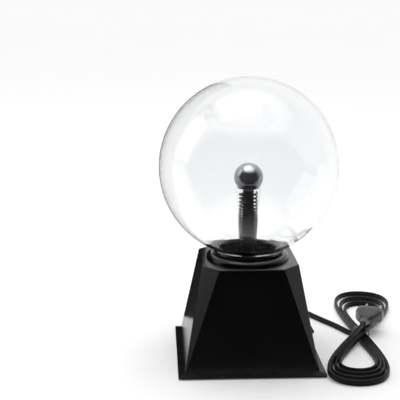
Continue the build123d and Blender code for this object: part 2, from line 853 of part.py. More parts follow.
def cord_radii(points):
    """Largest sensible bend at each inner point: 0.45 of the shorter run over tan(half the turn)."""
    bends = []
    for before, here, after in zip(points, points[1:], points[2:]):
        turn = (here - before).get_angle(after - here)
        shorter = min((here - before).length, (after - here).length)
        bends.append(0.45 * shorter / tan(radians(turn / 2)))
    return bends


bends = cord_radii(cord_points)
print("cord bend radii:", ", ".join(f"{bend:.0f}" for bend in bends))

with BuildPart() as cord:
    with BuildLine() as cord_route:
        FilletPolyline(*cord_points, radius=bends)
    with BuildSketch(Plane(origin=cord_route.line @ 0, z_dir=cord_route.line % 0)):
        Circle(cord_width / 2)
    sweep(path=cord_route.line)

cord_length = sum(edge.length for edge in cord_route.edges())
print(f"cord run {cord_length:.0f} mm, volume over section x length "
      f"{cord.part.volume / (pi * cord_width**2 / 4 * cord_length):.3f}")

hank_waist = Vector(106.0, 24.0, 0)
hank_lean = 11.7
hank_height = 9.0
far_lobe = (0.0, 72.0)
far_lobe_radii = (26.0, 57.0)
far_hole_radii = (9.0, 30.0)
near_lobe = (-3.0, -58.0)
near_lobe_radii = (26.0, 47.0)
near_hole_radii = (9.0, 20.0)
waist_width = 15.0
waist_length = 44.0
tie_width = 5.0
tie_thickness = 0.8
tie_lift = 0.2
hank_plane = Plane(
    origin=hank_waist,
    x_dir=(cos(radians(hank_lean)), -sin(radians(hank_lean)), 0),
    z_dir=(0, 0, 1),
)

with BuildPart() as cord_hank:
    with BuildSketch(hank_plane):
        with Locations(far_lobe):
            Ellipse(*far_lobe_radii)
        with Locations(near_lobe):
            Ellipse(*near_lobe_radii)
        Rectangle(waist_width, waist_length)
        with Locations(far_lobe):
            Ellipse(*far_hole_radii, mode=Mode.SUBTRACT)
        with Locations(near_lobe):
            Ellipse(*near_hole_radii, mode=Mode.SUBTRACT)
    extrude(amount=hank_height)
    with BuildSketch(hank_plane):
        Rectangle(3 * waist_width, tie_width + 0.4)
    extrude(amount=tie_lift + tie_thickness, mode=Mode.SUBTRACT)

tie_plane = Plane(origin=hank_waist, x_dir=hank_plane.x_dir, z_dir=hank_plane.y_dir)

with BuildPart() as cord_tie:
    with BuildSketch(tie_plane):
        with Locations((0, -(tie_lift + (hank_height + tie_thickness) / 2 + 0.05))):
            Rectangle(waist_width + 2 * tie_thickness, hank_height + tie_thickness + 0.1)
        with Locations((0, -(tie_lift + tie_thickness + (hank_height - tie_lift - tie_thickness) / 2))):
            Rectangle(waist_width, hank_height - tie_lift - tie_thickness, mode=Mode.SUBTRACT)
    extrude(amount=tie_width / 2, both=True)

plug_entry = Vector(106.5, 21.0, 16.1)
plug_heading = 66.0
plug_tail = 10.0
plug_tail_radius = 3.5
plug_body_length = 23.0
plug_small_end = (12.0, 9.0)
plug_large_end = (25.0, 14.0)
blade_size = (6.3, 1.5, 16.0)
blade_spacing = 12.7
plug_axis = Vector(cos(radians(plug_heading)), sin(radians(plug_heading)), 0)
plug_plane = Plane(origin=plug_entry, x_dir=plug_axis.cross(Vector(0, 0, 1)), z_dir=plug_axis)

with BuildPart() as plug_body:
    with BuildSketch(plug_plane):
        Circle(plug_tail_radius - 0.5)
    with BuildSketch(plug_plane.offset(plug_tail)):
        Circle(plug_tail_radius)
    loft()
    with BuildSketch(plug_plane.offset(plug_tail)):
        RectangleRounded(*plug_small_end, 2)
    with BuildSketch(plug_plane.offset(plug_tail + plug_body_length - 8)):
        RectangleRounded(*plug_large_end, 2)
    loft(ruled=True)
    with BuildSketch(plug_plane.offset(plug_tail + plug_body_length - 8)):
        RectangleRounded(*plug_large_end, 2)
    extrude(amount=8)

with BuildPart() as plug_blades:
    with BuildSketch(plug_plane.offset(plug_tail + plug_body_length)):
        with Locations((blade_spacing / 2, 0), (-blade_spacing / 2, 0)):
            Rectangle(blade_size[1], blade_size[0])
    extrude(amount=blade_size[2])
    chamfer(plug_blades.edges().sort_by(lambda edge: edge.center().dot(plug_axis))[-8:], 0.35)

# ================================================================ export
pieces = {
    "base_shell": base_shell,
    "bottom_plate": bottom_plate,
    "rubber_feet": rubber_feet,
    "base_screws": base_screws,
    "collar_ring": collar_ring,
    "neck_gasket": neck_gasket,
    "globe_cradle": globe_cradle,
    "cradle_screws": cradle_screws,
    "glass_globe": glass_globe,
    "electrode_stem": electrode_stem,
    "electrode_coating": electrode_coating,
    "stem_bung": stem_bung,
    "core_tube": core_tube,
    "contact_spring": contact_spring,
    "steel_wool": steel_wool,
    "circuit_board": circuit_board,
    "board_screws": board_screws,
    "ferrite_core": ferrite_core,
    "hv_winding": hv_winding,
    "primary_winding": primary_winding,
    "heat_sink": heat_sink,
    "power_transistor": power_transistor,
    "transistor_screw": transistor_screw,
    "electrolytic_capacitors": electrolytic_capacitors,
    "film_capacitors": film_capacitors,
    "resistors": resistors,
    "bridge_diodes": bridge_diodes,
    "fuse": fuse,
    "fuse_clips": fuse_clips,
    "terminal_block": terminal_block,
    "switch_housing": switch_housing,
    "switch_rocker": switch_rocker,
    "switch_terminals": switch_terminals,
    "switch_wires": switch_wires,
    "mains_wires": mains_wires,
    "hv_wire": hv_wire,
    "cord_clamp": cord_clamp,
    "clamp_screws": clamp_screws,
    "cord_strain_relief": cord_strain_relief,
    "cord": cord,
    "cord_hank": cord_hank,
    "cord_tie": cord_tie,
    "plug_body": plug_body,
    "plug_blades": plug_blades,
}

os.makedirs("parts", exist_ok=True)
for name, piece in pieces.items():
    piece.part.label = name
    export_step(piece.part, f"parts/{name}.step")
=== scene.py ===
"""Finishes and fine shapes of a plasma ball lamp, built round its fixed CAD frame.

Metres, +Z up, front of the base toward -Y, rocker switch on +X, mains cord out of the back.
"""

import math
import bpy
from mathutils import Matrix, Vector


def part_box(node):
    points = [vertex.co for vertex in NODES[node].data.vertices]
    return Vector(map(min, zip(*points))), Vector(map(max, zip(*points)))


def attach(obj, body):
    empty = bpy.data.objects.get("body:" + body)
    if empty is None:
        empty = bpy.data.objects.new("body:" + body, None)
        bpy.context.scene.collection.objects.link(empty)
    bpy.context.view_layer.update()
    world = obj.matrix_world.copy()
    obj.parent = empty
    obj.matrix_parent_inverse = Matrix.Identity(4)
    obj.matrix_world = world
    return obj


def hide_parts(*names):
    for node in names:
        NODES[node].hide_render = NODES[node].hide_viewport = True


bl_info = {
    "name": "Plasma ball lamp",
    "version": (1, 0, 0),
    "blender": (4, 5, 0),
    "location": "3D View > Sidebar > Plasma ball",
    "description": "Glass globe, silvered electrode, faceted gloss base and hanked mains cord",
    "category": "Object",
}

import bmesh
import bpy
import numpy as np
from bpy.props import FloatProperty, FloatVectorProperty, IntProperty, PointerProperty
from mathutils import Matrix

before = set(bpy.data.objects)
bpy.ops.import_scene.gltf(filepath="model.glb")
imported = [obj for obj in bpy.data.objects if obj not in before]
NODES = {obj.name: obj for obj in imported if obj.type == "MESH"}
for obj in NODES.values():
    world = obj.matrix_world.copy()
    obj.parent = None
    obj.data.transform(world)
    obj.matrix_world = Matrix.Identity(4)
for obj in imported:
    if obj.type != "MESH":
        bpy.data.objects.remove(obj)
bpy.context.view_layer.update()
MM = 0.001


# ------------------------------------------------------------------ sizes and colours
class GlobeSettings(bpy.types.PropertyGroup):
    """The blown glass and the silvered bulb in it."""

    radius: FloatProperty(
        name="Globe radius", description="Outside radius of the glass ball", default=0.075, unit="LENGTH"
    )
    wall: FloatProperty(name="Glass wall", description="Thickness of the glass", default=0.002, unit="LENGTH")
    centre_height: FloatProperty(
        name="Centre height", description="Height of the ball's centre above the table",
        default=0.164, unit="LENGTH",
    )
    neck_radius: FloatProperty(
        name="Neck radius", description="Outside radius of the glass neck", default=0.026, unit="LENGTH"
    )
    neck_bottom: FloatProperty(
        name="Neck bottom", description="Height of the neck's lower rim", default=0.066, unit="LENGTH"
    )
    tint: FloatVectorProperty(
        name="Glass tint", description="Colour of the clear glass",
        default=(0.975, 0.98, 0.985), size=3, subtype="COLOR",
    )
    silver: FloatVectorProperty(
        name="Bulb silver", description="Colour of the mirror coating",
        default=(0.52, 0.53, 0.55), size=3, subtype="COLOR",
    )


class CoreSettings(bpy.types.PropertyGroup):
    """The sprung contact and the wire wool in the electrode."""

    coil_radius: FloatProperty(
        name="Coil radius", description="Outer radius of the contact spring's foot",
        default=0.00645, unit="LENGTH",
    )
    coil_flare: FloatProperty(
        name="Coil flare", description="Growth of the coil's radius up the tapered stem",
        default=0.0017, unit="LENGTH",
    )
    wire_radius: FloatProperty(
        name="Spring wire", description="Radius of the spring's wire", default=0.00078, unit="LENGTH"
    )
    close_pitch: FloatProperty(
        name="Close pitch", description="Rise of one turn low in the stem", default=0.0018, unit="LENGTH"
    )
    open_pitch: FloatProperty(
        name="Open pitch", description="Rise of one turn below the bulb", default=0.0033, unit="LENGTH"
    )
    wool_fibres: IntProperty(
        name="Wool fibres", description="Number of steel fibres", default=80, min=10, max=200
    )


class BaseSettings(bpy.types.PropertyGroup):
    """The moulded base."""

    shell_colour: FloatVectorProperty(
        name="Shell", description="Colour of the gloss shell",
        default=(0.0032, 0.0032, 0.0040), size=3, subtype="COLOR",
    )
    plinth_colour: FloatVectorProperty(
        name="Plinth", description="Colour of the satin plinth",
        default=(0.0065, 0.0065, 0.0078), size=3, subtype="COLOR",
    )
    collar_colour: FloatVectorProperty(
        name="Collar", description="Colour of the neck collar",
        default=(0.0050, 0.0050, 0.0058), size=3, subtype="COLOR",
    )
    shell_gloss: FloatProperty(
        name="Shell roughness", description="Roughness of the gloss shell",
        default=0.20, min=0, max=1, subtype="FACTOR",
    )


class CordSettings(bpy.types.PropertyGroup):
    """The flat mains cord and its plug."""

    width: FloatProperty(
        name="Cord width", description="Width of the flat cord", default=0.0052, unit="LENGTH"
    )
    thickness: FloatProperty(
        name="Cord thickness", description="Thickness of the flat cord", default=0.0026, unit="LENGTH"
    )
    length: FloatProperty(
        name="Cord length", description="Length from base to plug", default=1.8, unit="LENGTH"
    )
    jacket_colour: FloatVectorProperty(
        name="Jacket", description="Colour of the cord",
        default=(0.0060, 0.0060, 0.0065), size=3, subtype="COLOR",
    )
    plug_colour: FloatVectorProperty(
        name="Plug", description="Colour of the moulded plug",
        default=(0.030, 0.028, 0.036), size=3, subtype="COLOR",
    )
    tie_colour: FloatVectorProperty(
        name="Tie", description="Colour of the wrap round the hank",
        default=(0.026, 0.023, 0.034), size=3, subtype="COLOR",
    )


# ------------------------------------------------------------------ surfaces
def new_piece(name, points, faces, material, smooth=True):
    """Mesh object at the origin from points in metres, doubles merged and faces outward."""
    mesh = bpy.data.meshes.new(name)
    mesh.from_pydata(np.asarray(points, float).reshape(-1, 3).tolist(), [], faces)
    work = bmesh.new()
    work.from_mesh(mesh)
    bmesh.ops.remove_doubles(work, verts=work.verts, dist=1e-7)
    bmesh.ops.recalc_face_normals(work, faces=work.faces)
    work.to_mesh(mesh)
    work.free()
    mesh.polygons.foreach_set("use_smooth", np.full(len(mesh.polygons), smooth))
    piece = bpy.data.objects.new(name, mesh)
    bpy.context.scene.collection.objects.link(piece)
    mesh.materials.append(material)
    return piece


def grid_faces(rows, columns, wrap_rows=False, wrap_columns=True, start=0):
    """Quads of a grid of points numbered row by row, joined round in either direction on request."""
    row = np.arange(rows if wrap_rows else rows - 1)
    column = np.arange(columns if wrap_columns else columns - 1)
    i, j = np.meshgrid(row, column, indexing="ij")
    k, l = (i + 1) % rows, (j + 1) % columns
    quads = np.stack([i * columns + j, i * columns + l, k * columns + l, k * columns + j], -1)
    return (quads.reshape(-1, 4) + start).tolist()


def lathe(outline, turns=192):
    """Surface of revolution: each outline point (r, z) goes round the Z axis in a circle."""
    outline = np.asarray(outline, float)
    angle = np.linspace(0, 2 * np.pi, turns, endpoint=False)
    radius, height = outline[:, :1], outline[:, 1:]
    points = np.stack(
        [radius * np.cos(angle), radius * np.sin(angle), np.broadcast_to(height, (len(outline), turns))], -1
    )
    return points, grid_faces(len(outline), turns)


def arc(centre, radius, start, end, steps):
    """Outline points on a circle in the (r, z) plane, from one angle to another in degrees."""
    angle = np.radians(np.linspace(start, end, steps))
    return np.stack([centre[0] + radius * np.cos(angle), centre[1] + radius * np.sin(angle)], -1)


def direction_frames(line, upright):
    """Unit tangent, the upright turned square to it, and their cross product, at each point of a line."""
    tangent = np.gradient(line, axis=0)
    tangent /= np.linalg.norm(tangent, axis=1, keepdims=True)
    tall = upright - (tangent @ upright)[:, None] * tangent
    tall /= np.linalg.norm(tall, axis=1, keepdims=True)
    return tangent, tall, np.cross(tangent, tall)


def sweep(line, section, upright=(0.0, 0.0, 1.0), scale=None):
    """Points and faces of a profile carried along a line: point = line + a * tall + b * side, ends capped."""
    line = np.asarray(line, float)
    _, tall, side = direction_frames(line, np.asarray(upright, float))
    grow = np.ones(len(line)) if scale is None else scale
    a, b = section[:, 0], section[:, 1]
    points = line[:, None] + grow[:, None, None] * (
        a[None, :, None] * tall[:, None] + b[None, :, None] * side[:, None]
    )
    count = len(section)
    faces = grid_faces(len(line), count)
    faces += [list(range(count)), list(range((len(line) - 1) * count, len(line) * count))]
    return points, faces


def ring_section(radius, sides):
    """Round profile of the given radius."""
    angle = np.linspace(0, 2 * np.pi, sides, endpoint=False)
    return np.stack([radius * np.cos(angle), radius * np.sin(angle)], -1)


def twin_section(width, thickness):
    """Profile of a flat twin lead: two round lobes side by side, joined by a slightly thinner web."""
    lobe = thickness / 2
    offset = width / 2 - lobe
    angle = np.radians(np.linspace(-112, 112, 15))
    upper = np.stack([offset + lobe * np.cos(angle), lobe * np.sin(angle)], -1)
    web = lobe * 0.78
    return np.concatenate([upper, [[0, web]], -upper, [[0, -web]]])


# ------------------------------------------------------------------ finishes
def new_finish(name, colour, roughness, **sockets):
    """Principled material with plain socket values, and the names its other nodes are reached by."""
    material = bpy.data.materials.new(name)
    material.use_nodes = True
    material.diffuse_color = (*colour, 1)
    nodes, links = material.node_tree.nodes, material.node_tree.links
    shader = nodes["Principled BSDF"]
    shader.inputs["Base Color"].default_value = (*colour, 1)
    shader.inputs["Roughness"].default_value = roughness
    for socket, value in sockets.items():
        shader.inputs[socket.replace("_", " ").title().replace("Ior", "IOR")].default_value = value
    place = nodes.new("ShaderNodeTexCoord")
    return material, nodes, links, shader, place.outputs["Object"]


def mottle(nodes, links, place, scale, detail=4.0, roughness=0.55, distortion=0.0):
    """Noise on object coordinates, scale in features a metre."""
    noise = nodes.new("ShaderNodeTexNoise")
    noise.inputs["Scale"].default_value = scale
    noise.inputs["Detail"].default_value = detail
    noise.inputs["Roughness"].default_value = roughness
    noise.inputs["Distortion"].default_value = distortion
    links.new(place, noise.inputs["Vector"])
    return noise.outputs["Fac"]


def spread(nodes, links, value, low, high, to_low, to_high):
    """A value stretched from one range to another."""
    stretch = nodes.new("ShaderNodeMapRange")
    for socket, number in zip(("From Min", "From Max", "To Min", "To Max"), (low, high, to_low, to_high)):
        stretch.inputs[socket].default_value = number
    links.new(value, stretch.inputs["Value"])
    return stretch.outputs["Result"]


def two_tone(nodes, links, value, first, second, low=0.35, high=0.65):
    """Colour running from one tone to another as the value rises."""
    ramp = nodes.new("ShaderNodeValToRGB")
    ramp.color_ramp.elements[0].position, ramp.color_ramp.elements[0].color = low, (*first, 1)
    ramp.color_ramp.elements[1].position, ramp.color_ramp.elements[1].color = high, (*second, 1)
    links.new(value, ramp.inputs["Fac"])
    return ramp.outputs["Color"]


def tone(nodes, links, shader, value, first, second, low=0.35, high=0.65):
    """Base colour that runs from one tone to another as the value rises."""
    links.new(two_tone(nodes, links, value, first, second, low, high), shader.inputs["Base Color"])


def gloss(nodes, links, shader, value, smoothest, roughest):
    """Roughness between two limits over the middle of a noise."""
    links.new(spread(nodes, links, value, 0.3, 0.7, smoothest, roughest), shader.inputs["Roughness"])


def relief(nodes, links, shader, height, depth, strength=1.0, below=None):
    """Bump of the given depth in metres, laid over another bump if there is one."""
    bump = nodes.new("ShaderNodeBump")
    bump.inputs["Strength"].default_value = strength
    bump.inputs["Distance"].default_value = depth
    links.new(height, bump.inputs["Height"])
    if below is not None:
        links.new(below, bump.inputs["Normal"])
    links.new(bump.outputs["Normal"], shader.inputs["Normal"])
    return bump.outputs["Normal"]


def stripes(nodes, links, place, scale, axis="Z", distortion=0.0, kind="BANDS"):
    """Even bands across an axis, scale in bands a metre over six."""
    wave = nodes.new("ShaderNodeTexWave")
    wave.wave_type = kind
    if kind == "BANDS":
        wave.bands_direction = axis
    else:
        wave.rings_direction = axis
    wave.inputs["Scale"].default_value = scale
    wave.inputs["Distortion"].default_value = distortion
    links.new(place, wave.inputs["Vector"])
    return wave.outputs["Fac"]


def shade(colour, factor):
    """The colour made lighter or darker."""
    return tuple(min(1.0, part * factor) for part in colour)


def moulded(name, colour, roughness, grain=2600.0, depth=0.000005, wear=0.18, **sockets):
    """Moulded plastic: faint flow marks, uneven gloss, and a fine skin over soft sink marks."""
    material, nodes, links, shader, place = new_finish(name, colour, roughness, **sockets)
    flow = mottle(nodes, links, place, 42.0, 3.0, 0.5, 0.4)
    tone(nodes, links, shader, flow, shade(colour, 0.82), shade(colour, 1.25))
    haze = mottle(nodes, links, place, 190.0, 5.0, 0.62)
    gloss(nodes, links, shader, haze, roughness * (1 - wear), roughness * (1 + wear))
    sink = relief(nodes, links, shader, mottle(nodes, links, place, 40.0, 0.0), 0.00003, 0.2)
    relief(nodes, links, shader, mottle(nodes, links, place, grain, 2.0), depth, 0.6, sink)
    return material


def gloss_shell(name, colour, roughness):
    """Polished black moulding: near mirror, with a little orange peel and faint wiping marks."""
    material, nodes, links, shader, place = new_finish(name, colour, roughness)
    flow = mottle(nodes, links, place, 30.0, 2.0)
    tone(nodes, links, shader, flow, shade(colour, 0.85), shade(colour, 1.2))
    wiping = nodes.new("ShaderNodeMapping")
    wiping.inputs["Scale"].default_value = (1.0, 1.0, 7.0)
    wiping.inputs["Rotation"].default_value = (0.0, 0.5, 0.3)
    links.new(place, wiping.inputs["Vector"])
    marks = mottle(nodes, links, wiping.outputs["Vector"], 60.0, 6.0, 0.6, 0.6)
    links.new(
        spread(nodes, links, marks, 0.35, 0.75, roughness * 0.9, roughness * 1.15), shader.inputs["Roughness"]
    )
    peel = relief(nodes, links, shader, mottle(nodes, links, place, 240.0, 1.0), 0.000010, 0.5)
    relief(nodes, links, shader, mottle(nodes, links, place, 1900.0, 1.0), 0.000003, 0.4, peel)
    return material


def metal(name, colour, roughness, grain=(1.0, 1.0, 1.0), scale=1500.0, depth=0.00001):
    """Bare metal: drawn or rolled grain, stretched across the axis it runs along, with uneven tarnish."""
    material, nodes, links, shader, place = new_finish(name, colour, roughness, metallic=1.0)
    along = nodes.new("ShaderNodeMapping")
    along.inputs["Scale"].default_value = grain
    links.new(place, along.inputs["Vector"])
    lines = mottle(nodes, links, along.outputs["Vector"], scale, 3.0)
    tarnish = mottle(nodes, links, place, 160.0, 4.0)
    tone(nodes, links, shader, tarnish, shade(colour, 0.7), shade(colour, 1.1))
    gloss(nodes, links, shader, lines, roughness * 0.6, roughness * 1.5)
    relief(nodes, links, shader, lines, depth, 0.6)
    return material


def banded(name, colour, second, roughness, scale, axis="Z", depth=0.00006, metallic=0.0):
    """Wound or ribbed surface: even bands in colour and height across an axis, with slight unevenness; the
    darker second tone lies in the low bands, painted shade in the grooves.
    """
    material, nodes, links, shader, place = new_finish(name, colour, roughness, metallic=metallic)
    band = stripes(nodes, links, place, scale, axis, 0.6)
    # Painted shade: the band that sets the bump also sets the colour, so the darker second tone fills the
    # grooves.
    tone(nodes, links, shader, band, second, colour, 0.15, 0.6)
    haze = mottle(nodes, links, place, 300.0, 4.0)
    gloss(nodes, links, shader, haze, roughness * 0.7, roughness * 1.3)
    relief(nodes, links, shader, band, depth, 0.8)
    return material


def clear_glass(name, tint):
    """Clear blown glass: plain transmission, smooth and lightly tinted."""
    return new_finish(name, tint, 0.0, transmission_weight=1.0, ior=1.5)[0]


def speckled(name, colour, speck, roughness, scale, depth=0.00002):
    """Fired or cast surface: small specks of another tone and a fine tooth."""
    material, nodes, links, shader, place = new_finish(name, colour, roughness)
    specks = mottle(nodes, links, place, scale, 2.0)
    tone(nodes, links, shader, specks, colour, speck, 0.55, 0.72)
    gloss(nodes, links, shader, specks, roughness * 0.8, roughness * 1.2)
    relief(nodes, links, shader, mottle(nodes, links, place, scale * 2, 3.0), depth, 0.7)
    return material


def dress(material, *names):
    """Puts a finish on CAD nodes."""
    for name in names:
        slots = NODES[name].data.materials
        slots.clear()
        slots.append(material)


# ------------------------------------------------------------------ stage
VIEW_PLACE = (-0.07735, -0.78478, 0.31146)
VIEW_RIGHT = (0.99892, -0.04618, 0.00234)
VIEW_UP = (0.0078, 0.2180, 0.97596)
VIEW_BACK = (-0.0456, -0.9749, 0.2181)
PAPER_WHITE = 0.93
# Strip of floor ahead of the lamp that fades out of reflections, far edge and near edge.
DARK_AHEAD = (-0.16, -0.06)
# Card seen only in reflections: left, right, depth, top.
FLAG_SPAN = (-0.34, -0.03, 0.10, 0.34)


def softbox(name, place, aim, size, energy):
    """Rectangular area lamp at a place, turned to face a point."""
    lamp = bpy.data.lights.new(name, "AREA")
    lamp.shape, lamp.size, lamp.size_y, lamp.energy = "RECTANGLE", size[0], size[1], energy
    holder = bpy.data.objects.new(name, lamp)
    bpy.context.scene.collection.objects.link(holder)
    back = np.array(place, float) - np.array(aim, float)
    back /= np.linalg.norm(back)
    right = np.cross((0.0, 1.0, 0.0) if abs(back[2]) > 0.95 else (0.0, 0.0, 1.0), back)
    right /= np.linalg.norm(right)
    up = np.cross(back, right)
    turned = Matrix(np.column_stack([right, up, back]).tolist()).to_4x4()
    turned.translation = place
    holder.matrix_world = turned
    return holder


class PLASMA_OT_stage(bpy.types.Operator):
    """Camera, pale floor, soft surroundings and lamps"""

    bl_idname = "plasma.stage"
    bl_label = "Stage"

    def execute(self, context):
        scene = context.scene
        camera = bpy.data.objects.new("view", bpy.data.cameras.new("view"))
        scene.collection.objects.link(camera)
        camera.data.lens = 86.38
        camera.data.sensor_width = 36.0
        camera.data.clip_end = 100.0
        turned = Matrix(np.column_stack([VIEW_RIGHT, VIEW_UP, VIEW_BACK]).tolist()).to_4x4()
        turned.translation = VIEW_PLACE
        camera.matrix_world = turned
        scene.camera = camera
        scene.view_settings.view_transform = "Standard"

        reach = 30.0
        corners = [(-reach, -reach, 0), (reach, -reach, 0), (reach, reach, 0), (-reach, reach, 0)]
        paper, nodes, links, shader, place = new_finish("pale_floor", (PAPER_WHITE,) * 3, 0.9)
        patches = mottle(nodes, links, place, 3.0, 2.0)
        split = nodes.new("ShaderNodeSeparateXYZ")
        links.new(place, split.inputs["Vector"])
        # Painted dark reflection: seen in a reflection, the floor ahead of the lamp turns near black; seen
        # straight, it stays pale.
        ahead = spread(nodes, links, split.outputs["Y"], *DARK_AHEAD, 1.0, 0.0)
        mirrored = nodes.new("ShaderNodeLightPath")
        mirror = self.join(nodes, links, "GREATER_THAN", mirrored.outputs["Glossy Depth"], 0.5)
        dark = self.join(nodes, links, "MULTIPLY", mirror, ahead)
        pale = two_tone(nodes, links, patches, (0.925, 0.925, 0.925), (0.935, 0.935, 0.935))
        mix = nodes.new("ShaderNodeMix")
        mix.data_type = "RGBA"
        links.new(dark, mix.inputs["Factor"])
        links.new(pale, mix.inputs[6])
        mix.inputs[7].default_value = (0.02, 0.02, 0.02, 1)
        links.new(mix.outputs[2], shader.inputs["Base Color"])
        links.new(mix.outputs[2], shader.inputs["Emission Color"])
        shader.inputs["Emission Strength"].default_value = 0.107
        shader.inputs["Specular IOR Level"].default_value = 0.2
        floor = new_piece("floor", corners, [[0, 1, 2, 3]], paper, smooth=False)

        world = bpy.data.worlds.new("studio")
        world.use_nodes = True
        scene.world = world
        nodes, links = world.node_tree.nodes, world.node_tree.links
        sky = nodes["Background"]
        sky.inputs["Color"].default_value = (1, 1, 1, 1)
        seen = nodes.new("ShaderNodeLightPath")
        around = nodes.new("ShaderNodeTexCoord")
        split = nodes.new("ShaderNodeSeparateXYZ")
        links.new(around.outputs["Generated"], split.inputs["Vector"])
        toward_back = spread(nodes, links, split.outputs["Y"], -0.35, 0.65, 0.02, 0.95)
        overhead = spread(nodes, links, split.outputs["Z"], 0.66, 0.92, 0.0, 1.9)
        brightest = self.join(nodes, links, "MAXIMUM", toward_back, overhead)
        unreflected = self.join(nodes, links, "LESS_THAN", seen.outputs["Glossy Depth"], 0.5)
        through = self.join(nodes, links, "MULTIPLY", seen.outputs["Is Transmission Ray"], unreflected)
        direct = self.join(nodes, links, "MAXIMUM", seen.outputs["Is Camera Ray"], through)
        plain = self.join(nodes, links, "MULTIPLY", direct, PAPER_WHITE)
        links.new(self.join(nodes, links, "MAXIMUM", plain, brightest), sky.inputs["Strength"])

        black = new_finish("flag_black", (0.03,) * 3, 0.9)[0]
        left, right, near, top = FLAG_SPAN
        corners = [(left, near, 0.0), (right, near, 0.0), (right, near, top), (left, near, top)]
        flag = new_piece("side_flag", corners, [[0, 1, 2, 3]], black, False)
        flag.visible_camera = flag.visible_transmission = False
        flag.visible_shadow = flag.visible_diffuse = False
        softbox("top_softbox", (-0.2, 0.1, 1.6), (0, 0, 0.1), (1.0, 1.0), 4.0)
        softbox("left_softbox", (-1.5, 0.3, 0.9), (0, 0, 0.12), (0.9, 1.3), 3.0)
        return {"FINISHED"}

    @staticmethod
    def join(nodes, links, operation, first, second):
        """Math node on two sockets, or on a socket and a number."""
        math_node = nodes.new("ShaderNodeMath")
        math_node.operation = operation
        links.new(first, math_node.inputs[0])
        if isinstance(second, float):
            math_node.inputs[1].default_value = second
        else:
            links.new(second, math_node.inputs[1])
        return math_node.outputs["Value"]


# ------------------------------------------------------------------ cord, hank, tie and plug
# Route of the lead from the outlet to the hank, in metres.
LEAD_ROUTE = [
    (0.0, 0.06623, 0.01632),
    (0.0, 0.08050, 0.01891),
    (0.0050, 0.0950, 0.0186),
    (0.0155, 0.1065, 0.0150),
    (0.0310, 0.1120, 0.0100),
    (0.0475, 0.1090, 0.0060),
    (0.0610, 0.0990, 0.0036),
    (0.0700, 0.0855, 0.0028),
    (0.0775, 0.0725, 0.0027),
    (0.0850, 0.0605, 0.0027),
    (0.0910, 0.0500, 0.0027),
    (0.0953, 0.0403, 0.0027),
    (0.1002, 0.0329, 0.0027),
]
CORD_REST = 0.0027  # height of the cord's middle where it lies on the table
HANK_WAIST = np.array([0.106, 0.024])
HANK_LONG = np.array([0.2028, 0.9792])
HANK_WIDE = np.array([0.9792, -0.2028])
# Loops in winding order, below and above the tie in turn: reach, half width, lean to one side.
HANK_LOOPS = [
    (0.0800, 0.0168, -0.0040),
    (0.1280, 0.0258, 0.0004),
    (0.0880, 0.0194, -0.0046),
    (0.1120, 0.0218, 0.0010),
    (0.0965, 0.0220, -0.0052),
    (0.0965, 0.0180, 0.0012),
    (0.1050, 0.0246, -0.0058),
]
# Passes under the tie: place across the bundle and height of the cord's middle.
HANK_PASSES = [
    (-0.00435, 0.0035),
    (0.0029, 0.0089),
    (-0.00145, 0.0035),
    (0.0, 0.0089),
    (0.00145, 0.0035),
    (-0.0029, 0.0089),
    (0.00435, 0.0035),
    (0.0016, 0.0161),
]
PLUG_ENTRY = np.array([0.1065, 0.0210, 0.0161])
PLUG_AXIS = np.array([math.cos(math.radians(66.0)), math.sin(math.radians(66.0)), 0.0])


def hank_turns(steps=12):
    """Figure-eight turns: along = reach sin t, across = half width (sin 2t - 0.08 sin 4t) + lean."""
    points = []
    for index, (reach, half, lean) in enumerate(HANK_LOOPS):
        turn = (index + 1) * math.pi + np.arange(steps) * math.pi / steps
        depth = np.abs(np.sin(turn))
        entering = (np.arange(steps) < steps / 2)[:, None]
        crossing = np.where(entering, HANK_PASSES[index], HANK_PASSES[index + 1])
        along = reach * np.sin(turn)
        across = half / 1.02 * (np.sin(2 * turn) - 0.08 * np.sin(4 * turn))
        across += lean * depth**2 + crossing[:, 0] * (1 - depth)
        last = index == len(HANK_LOOPS) - 1
        near_tie = np.where(entering[:, 0] | (not last), (1 - depth) ** 2, 1 - depth)
        height = CORD_REST + (crossing[:, 1] - CORD_REST) * near_tie
        flat = HANK_WAIST + along[:, None] * HANK_LONG + across[:, None] * HANK_WIDE
        points.append(np.column_stack([flat, height]))
    return np.concatenate(points)[:-1]


def smooth_line(route, name, resolution=10):
    """Points of the NURBS curve that has the route as its control points."""
    curve = bpy.data.curves.new(name, "CURVE")
    curve.dimensions = "3D"
    spline = curve.splines.new("NURBS")
    spline.points.add(len(route) - 1)
    spline.points.foreach_set("co", np.column_stack([route, np.ones(len(route))]).ravel())
    spline.order_u = 3
    spline.use_endpoint_u = True
    spline.resolution_u = resolution
    holder = bpy.data.objects.new(name, curve)
    bpy.context.scene.collection.objects.link(holder)
    bpy.context.view_layer.update()
    line_mesh = bpy.data.meshes.new_from_object(holder)
    line = np.empty(len(line_mesh.vertices) * 3)
    line_mesh.vertices.foreach_get("co", line)
    bpy.data.objects.remove(holder)
    bpy.data.meshes.remove(line_mesh)
    return line.reshape(-1, 3)


